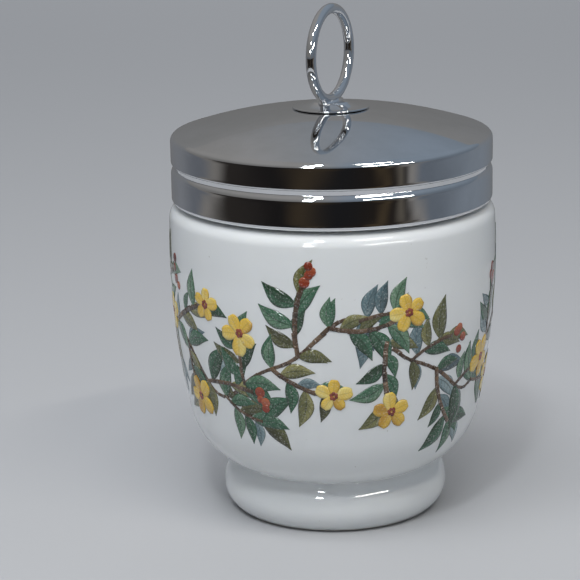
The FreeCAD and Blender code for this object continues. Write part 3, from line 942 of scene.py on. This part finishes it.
def lid_cap_outline():
    hole = SHANK_RADIUS + SHANK_CLEARANCE
    inside = LID_RADIUS - LID_SHEET
    edge = LID_RADIUS - LID_EDGE_ROUND
    points = dome_run(hole, edge, DOME_STEPS, LID_SHEET)
    bend(points, (inside, LID_EDGE_HEIGHT), DOWN, 6, known="end")
    run(points, (inside, GROOVE_TOP), 4)
    run(points, (GROOVE_RADIUS - LID_SHEET, GROOVE_HEIGHT), 3)
    run(points, (inside, BAND_TOP), 3)
    run(points, (inside, LID_BOTTOM + CURL_RADIUS), 5)
    bend(points, (LID_RADIUS - CURL_RADIUS, LID_BOTTOM + LID_SHEET), DOWN, 5)
    run(points, (LINER_INSIDE, LID_BOTTOM + LID_SHEET), 3)
    bend(points, (LINER_INSIDE, LID_BOTTOM), IN, 4)
    run(points, (LID_RADIUS - CURL_RADIUS, LID_BOTTOM), 3)
    bend(points, (LID_RADIUS, LID_BOTTOM + CURL_RADIUS), OUT, 10)
    run(points, (LID_RADIUS, BAND_TOP), 8)
    bend(points, (GROOVE_RADIUS, GROOVE_HEIGHT), UP, 9)
    run(points, (LID_RADIUS - GROOVE_LIP * 0.9, GROOVE_TOP - GROOVE_LIP * 0.5), 6)
    bend(points, (LID_RADIUS, GROOVE_TOP + GROOVE_LIP), UP, 5, known="end")
    run(points, (LID_RADIUS, LID_EDGE_HEIGHT), 8)
    bend(points, (edge, LID_EDGE_HEIGHT + LID_EDGE_RISE), UP, 10)
    return points + dome_run(edge, hole, DOME_STEPS, 0.0)[1:]


lid_cap = turn_on_lathe("polished_lid_cap", lid_cap_outline(), LID_SECTORS, closed=True)


def metal_material(name, bright, dull, gloss, smudging, line_scale, line_depth):
    # plated or plain metal: its colour and gloss drift with the handling marks, over turned lines
    material, shader = new_material(name)
    tree = material.node_tree
    place = tree.nodes.new("ShaderNodeTexCoord")
    worn = use_group(tree, marks, (place, "Object"), {"Smudge Scale": 70.0, "Grain Scale": 1400.0})
    turned = use_group(tree, lines, (place, "Object"), {"Lines": line_scale})
    wire(tree, mix_colours(tree, (worn, "Smudge"), (*bright, 1), (*dull, 1)), (shader, "Base Color"))
    wire(tree, math_node(tree, "MULTIPLY_ADD", (worn, "Smudge"), smudging, gloss), (shader, "Roughness"))
    height = math_node(tree, "ADD", (turned, "Height"), math_node(tree, "MULTIPLY", (worn, "Grain"), 0.5))
    add_bump(tree, shader, height, 0.2, line_depth)
    shader.inputs["Metallic"].default_value = 1.0
    return material


chrome = metal_material("polished_chrome", (0.74, 0.75, 0.77), (0.68, 0.69, 0.70), 0.03, 0.05,
                        900.0, 0.000004)
lid_cap.data.materials.append(chrome)
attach(lid_cap, "lid")
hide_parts("lid_shell")


# The lid's inner cap is pressed from plainer sheet. It closes on the rim with a raised middle panel,
# and its skirt is rolled into the thread that runs on the neck.
LINER_SECTORS = 224
LINER_SHEET = 0.0005
LINER_THREAD_START = NECK_THREAD_START + THREAD_PITCH / 2
LINER_THREAD_TURNS = 1.1
LINER_THREAD_DEPTH = 0.0012
LINER_THREAD_HALF = 0.0012
LINER_THREAD_RUN_OUT = 0.12
LINER_SKIRT_ROWS = 40
LINER_BOTTOM, LINER_TOP = (corner.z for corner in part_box("lid_liner"))
PANEL_RADIUS = 0.0235
PANEL_SLOPE = 0.0016
PANEL_RISE = 0.0011
LINER_BEVEL = 0.0009


def liner_outline():
    top = LINER_TOP - PANEL_RISE
    under = top - LINER_SHEET
    outside = LINER_INSIDE + LINER_SHEET
    points = [(0, under + PANEL_RISE)]
    run(points, (PANEL_RADIUS, under + PANEL_RISE), 8)
    run(points, (PANEL_RADIUS + PANEL_SLOPE, under), 4)
    run(points, (outside - LINER_BEVEL, under), 4)
    bend(points, (LINER_INSIDE, top - LINER_BEVEL), DOWN, 5, known="end")
    run(points, (LINER_INSIDE, LINER_BOTTOM), LINER_SKIRT_ROWS)
    run(points, (outside, LINER_BOTTOM), 1)
    run(points, (outside, top - LINER_BEVEL), LINER_SKIRT_ROWS)
    bend(points, (outside - LINER_BEVEL, top), UP, 5)
    run(points, (PANEL_RADIUS + PANEL_SLOPE, top), 3)
    run(points, (PANEL_RADIUS, LINER_TOP), 4)
    run(points, (0, LINER_TOP), 8)
    return points


def liner_shift(radius, height, angle):
    # the thread is rolled into the skirt, so its inside and outside move together
    if radius < LINER_INSIDE - SAME_RADIUS or height > LINER_TOP - PANEL_RISE - LINER_BEVEL:
        return 0.0
    return -helix_ridge(height, angle, LINER_THREAD_START, LINER_THREAD_TURNS, LINER_THREAD_HALF,
                        LINER_THREAD_DEPTH, LINER_THREAD_RUN_OUT)


liner = turn_on_lathe("threaded_inner_cap", liner_outline(), LINER_SECTORS, shift=liner_shift)
steel = metal_material("satin_sheet", (0.60, 0.60, 0.59), (0.50, 0.50, 0.48), 0.24, 0.12, 2600.0, 0.00003)
liner.data.materials.append(steel)
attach(liner, "lid")
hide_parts("lid_liner")


# The ring's foot is turned from rod: a thin flare that lies on the dome, a low hub with the wire
# brazed into it, and a shank that goes through the lid and is riveted over inside.
FLARE_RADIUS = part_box("ring_foot")[1].x
FLARE_EDGE = 0.00025
FLARE_BEVEL = 0.00005
FLARE_STEPS = 12
HUB_RADIUS = 0.0037
HUB_CORNER = 0.0002
HUB_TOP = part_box("ring_foot")[1].z
SWIVEL_GAP = 0.0002
PEEN_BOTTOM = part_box("ring_foot")[0].z
PEEN_RADIUS = 0.0025
PEEN_HEIGHT = 0.0008
FOOT_SECTORS = 96


def ring_foot_outline():
    points = [(0, PEEN_BOTTOM)]
    run(points, (PEEN_RADIUS * 0.5, PEEN_BOTTOM), 2)
    bend(points, (PEEN_RADIUS, PEEN_BOTTOM + PEEN_HEIGHT), UP, 6, known="end")
    run(points, (SHANK_RADIUS, PEEN_BOTTOM + PEEN_HEIGHT), 1)
    run(points, (SHANK_RADIUS, dome_height(SHANK_RADIUS, -SWIVEL_GAP)), 3)
    points += dome_run(SHANK_RADIUS, FLARE_RADIUS, FLARE_STEPS, -SWIVEL_GAP)[1:]
    flare_top = points[-1][1] + FLARE_EDGE
    run(points, (FLARE_RADIUS, flare_top - FLARE_BEVEL), 1)
    run(points, (FLARE_RADIUS - FLARE_BEVEL, flare_top), 1)
    bend(points, (HUB_RADIUS + HUB_CORNER, HUB_TOP - HUB_CORNER), IN, 14)
    bend(points, (HUB_RADIUS - HUB_CORNER, HUB_TOP), IN, 4, known="end")
    run(points, (0, HUB_TOP), 4)
    return points


ring_foot = turn_on_lathe("flared_ring_foot", ring_foot_outline(), FOOT_SECTORS)
ring_foot.data.materials.append(chrome)
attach(ring_foot, "lifting_ring")
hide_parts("ring_foot")


# The lift ring is a length of round wire bent to a circle, its ends closed together in the foot
# and set in a low mound of braze that is plated over with them.
WIRE_RADIUS = 0.0011
RING_SECTORS = 128
WIRE_SECTORS = 28
RING_BEARING = math.radians(64)
RING_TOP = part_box("lift_ring")[1].z
RING_RADIUS = (RING_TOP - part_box("lift_ring")[0].z) / 2 - WIRE_RADIUS
RING_HEIGHT = RING_TOP - RING_RADIUS - WIRE_RADIUS
RING_ALONG = Vector((math.cos(RING_BEARING), math.sin(RING_BEARING), 0))
RING_ACROSS = Vector((-math.sin(RING_BEARING), math.cos(RING_BEARING), 0))
BRAZE_LENGTH = 0.0046
BRAZE_WIDTH = 0.0021
BRAZE_RISE = 0.00085
BRAZE_DROP = 0.0005
BRAZE_SINK = 0.0001
BRAZE_ROWS = 12
BRAZE_SECTORS = 40


def bent_wire():
    vertices = []
    faces = []
    for sector in range(RING_SECTORS):
        angle = 2 * math.pi * sector / RING_SECTORS
        outward = RING_ALONG * math.cos(angle) + Vector((0, 0, math.sin(angle)))
        middle = outward * RING_RADIUS + Vector((0, 0, RING_HEIGHT))
        for side in range(WIRE_SECTORS):
            round_angle = 2 * math.pi * side / WIRE_SECTORS
            skin = outward * math.cos(round_angle) + RING_ACROSS * math.sin(round_angle)
            vertices.append(middle + skin * WIRE_RADIUS)
            after = (sector + 1) % RING_SECTORS
            beside = (side + 1) % WIRE_SECTORS
            faces.append((sector * WIRE_SECTORS + side, after * WIRE_SECTORS + side,
                          after * WIRE_SECTORS + beside, sector * WIRE_SECTORS + beside))
    item = place_mesh("wire_lift_ring", vertices, faces)
    smooth(item)
    return item


lift_ring = bent_wire()
lift_ring.data.materials.append(chrome)
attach(lift_ring, "lifting_ring")
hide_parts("lift_ring")

braze_round = [math.pi * row / BRAZE_ROWS for row in range(BRAZE_ROWS + 1)]
braze_outline = [(math.sin(angle), -math.cos(angle)) for angle in braze_round]
braze = turn_on_lathe("braze_mound", braze_outline, BRAZE_SECTORS)
for vertex in braze.data.vertices:
    bulge = vertex.co.z * (BRAZE_RISE if vertex.co.z > 0 else BRAZE_DROP)
    vertex.co = (RING_ALONG * vertex.co.x * BRAZE_LENGTH + RING_ACROSS * vertex.co.y * BRAZE_WIDTH
                 + Vector((0, 0, HUB_TOP - BRAZE_SINK + bulge)))
braze.data.update()
braze.data.materials.append(chrome)
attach(braze, "lifting_ring")


# The washer is punched from sheet and lies under the lid's top, where it keeps the riveted shank
# from pulling through the thin sheet. It is the frame's own flat ring, given the inner cap's finish.
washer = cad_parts["rivet_washer"]
washer.data.materials.clear()
washer.data.materials.append(steel)
